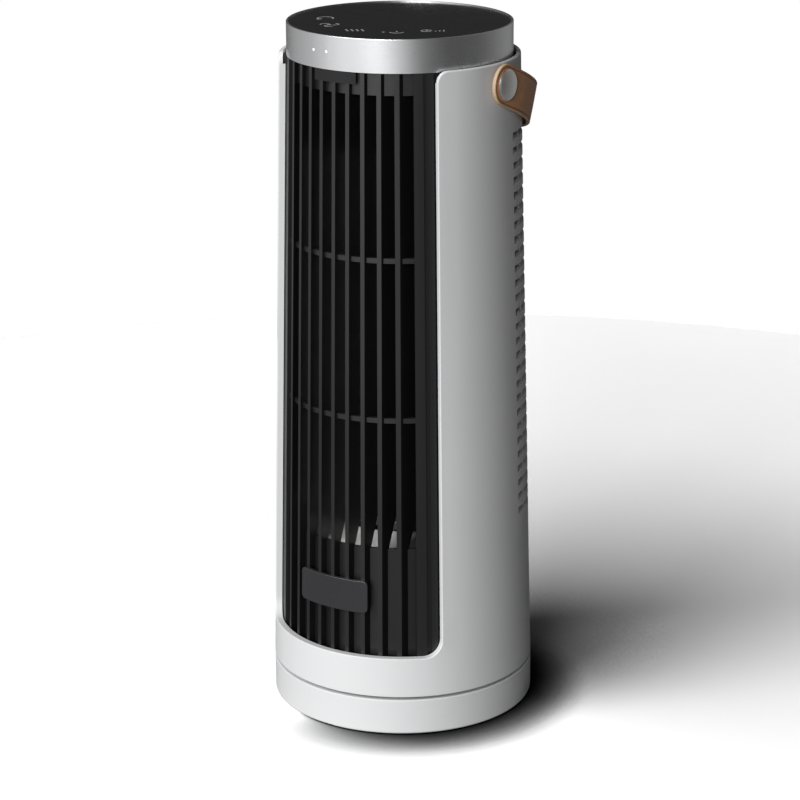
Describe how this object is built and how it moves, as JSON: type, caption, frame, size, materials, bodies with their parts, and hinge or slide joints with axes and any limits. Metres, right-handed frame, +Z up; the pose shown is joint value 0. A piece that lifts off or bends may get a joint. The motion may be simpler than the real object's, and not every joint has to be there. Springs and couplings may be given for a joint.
{
  "type": "ceramic space heater",
  "caption": "Swinging tower fan heater with an upright slatted outlet, a slatted air inlet at the back, a round touch top and a strap handle on a flat round base.",
  "frame": {"origin": "on the floor under the middle of the round base, where the swing axis meets the floor", "axes": "+Z up along the swing axis; the air outlet faces -Y and the inlet +Y; +X is the heater's left as it looks out, the viewer's right"},
  "size_m": [0.16, 0.1678, 0.42],
  "materials": {
    "white_plastic": "satin",
    "dark_plastic": "satin",
    "light_plastic": "matte",
    "grey_plastic": "matte",
    "panel_black": "glossy",
    "window_black": "glossy",
    "light_pipe": "glossy",
    "anodised_ring": "satin anodised",
    "bare_aluminium": "mill",
    "steel": "plain",
    "stud_steel": "satin",
    "copper": "enamelled",
    "ceramic": "unglazed",
    "board_green": "satin",
    "filter_mesh": "woven",
    "foot_rubber": "matte",
    "tan_leather": "smooth"
  },
  "bodies": {
    "base": {"base_shell": "white_plastic", "base_plate": "dark_plastic", "foot_ring": "foot_rubber", "base_screws": "steel", "ballast_plate": "steel", "cord_gland": "dark_plastic", "tip_over_spring": "steel", "tip_over_switch": "grey_plastic", "swivel_bearing": "light_plastic", "swing_motor": "steel", "swing_motor_screws": "steel"},
    "tip_plunger": {"tip_over_plunger": "light_plastic"},
    "swing_drive": {"swing_pinion": "light_plastic", "swing_shaft": "steel"},
    "tower": {"outer_shell": "white_plastic", "front_grille": "dark_plastic", "nameplate": "dark_plastic", "outlet_deflector": "light_plastic", "swing_ring_gear": "light_plastic", "tower_chassis": "grey_plastic", "motor_plate": "grey_plastic", "top_plate": "grey_plastic", "scroll_casing": "grey_plastic", "tongue_casing": "grey_plastic", "panel_carrier": "grey_plastic", "power_relays": "grey_plastic", "filter_capacitor": "grey_plastic", "terminal_block": "grey_plastic", "thermal_cutout": "grey_plastic", "buzzer": "grey_plastic", "heater_frame": "grey_plastic", "control_panel": "panel_black", "display_window": "window_black", "indicator_lights": "light_pipe", "top_ring": "anodised_ring", "heater_fins": "bare_aluminium", "swivel_retainer": "steel", "retainer_screws": "steel", "motor_plate_screws": "steel", "blower_bearings": "steel", "motor_lower_bell": "steel", "motor_upper_bell": "steel", "motor_stator": "steel", "heater_terminals": "steel", "shell_screws": "steel", "stud_nuts": "steel", "handle_studs": "stud_steel", "motor_windings": "copper", "heater_leads": "copper", "ceramic_elements": "ceramic", "power_board": "board_green", "control_board": "board_green", "dust_filter": "filter_mesh", "touch_pads": "foot_rubber"},
    "blower": {"blower_wheel": "grey_plastic", "wheel_coupling": "grey_plastic", "motor_shaft": "steel", "wheel_axle": "steel", "motor_rotor": "steel"},
    "handle": {"handle_strap": "tan_leather"}
  },
  "joints": [
    {"name": "oscillation", "type": "hinge", "parent": "base", "child": "tower", "pos_m": [0, 0, 0.0235], "axis": [0, 0, 1], "range_deg": [-35, 35]},
    {"name": "swing_drive", "type": "hinge", "parent": "base", "child": "swing_drive", "pos_m": [-0.0455, 0, 0.0225], "axis": [0, 0, 1], "range_deg": [-263, 263]},
    {"name": "blower_spin", "type": "hinge", "parent": "tower", "child": "blower", "pos_m": [0, 0.016, 0.24], "axis": [0, 0, 1], "continuous": true},
    {"name": "handle_pivot", "type": "hinge", "parent": "tower", "child": "handle", "pos_m": [0, 0, 0.389], "axis": [1, 0, 0], "range_deg": [0, 225]},
    {"name": "tip_over_travel", "type": "slide", "parent": "base", "child": "tip_plunger", "axis": [0, 0, 1], "range_m": [-0.003, 0], "stiffness_N_per_m": 40, "springref_m": -0.006, "deforming": ["tip_over_spring"]}
  ],
  "couplings": [
    {"joint": "swing_drive", "follows": "oscillation", "ratio": 7.5}
  ]
}
